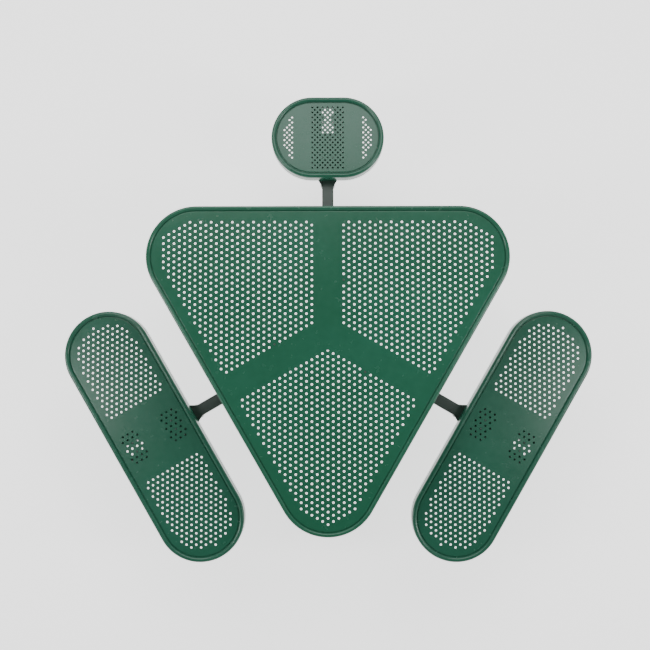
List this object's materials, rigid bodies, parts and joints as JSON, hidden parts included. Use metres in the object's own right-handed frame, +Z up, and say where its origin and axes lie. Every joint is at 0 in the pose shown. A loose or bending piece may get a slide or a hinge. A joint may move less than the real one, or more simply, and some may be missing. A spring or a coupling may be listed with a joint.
{
  "type": "picnic table",
  "caption": "Post-mounted picnic table with a three-sided perforated steel top and fixed perforated seats on radial arms.",
  "frame": {"origin": "on the post's axis at ground level, where the post leaves the ground", "axes": "+Z up along the post; +Y from the post to the single seat; +X to the right seen from above, so the double seats lie at the lower left and lower right"},
  "size_m": [1.8966, 1.6766, 1.21],
  "materials": {
    "top_coat": "satin powder coat, deep green",
    "seat_coat": "satin powder coat, deep green",
    "frame_coat": "satin powder coat, dark grey-green",
    "fasteners": "bright zinc plate"
  },
  "bodies": {
    "root": {"tabletop_panel": "top_coat", "top_rim_sides": "top_coat", "top_rim_corners": "top_coat", "spoke_single": "frame_coat", "spoke_left": "frame_coat", "spoke_right": "frame_coat", "spoke_blocks": "frame_coat", "panel_lugs": "frame_coat", "panel_studs": "fasteners", "panel_stud_washers": "fasteners", "panel_stud_nuts": "fasteners", "head_plate": "frame_coat", "head_gussets": "frame_coat", "head_bolts": "fasteners", "head_washers": "fasteners", "post": "frame_coat", "post_foot_cap": "frame_coat", "collar": "frame_coat", "collar_screws": "fasteners", "socket_single": "frame_coat", "socket_left": "frame_coat", "socket_right": "frame_coat", "socket_bolts": "fasteners", "socket_washers": "fasteners", "socket_nuts": "fasteners", "arm_single": "frame_coat", "arm_left": "frame_coat", "arm_right": "frame_coat", "arm_caps": "frame_coat", "single_seat_panel": "seat_coat", "single_seat_rim": "seat_coat", "single_rail_a": "frame_coat", "single_rail_b": "frame_coat", "single_spacers": "frame_coat", "single_bolts": "fasteners", "single_nuts": "fasteners", "left_seat_panel": "seat_coat", "left_seat_rim": "seat_coat", "left_rail_a": "frame_coat", "left_rail_b": "frame_coat", "left_spacers": "frame_coat", "left_bolts": "fasteners", "left_nuts": "fasteners", "right_seat_panel": "seat_coat", "right_seat_rim": "seat_coat", "right_rail_a": "frame_coat", "right_rail_b": "frame_coat", "right_spacers": "frame_coat", "right_bolts": "fasteners", "right_nuts": "fasteners"}
  },
  "joints": []
}
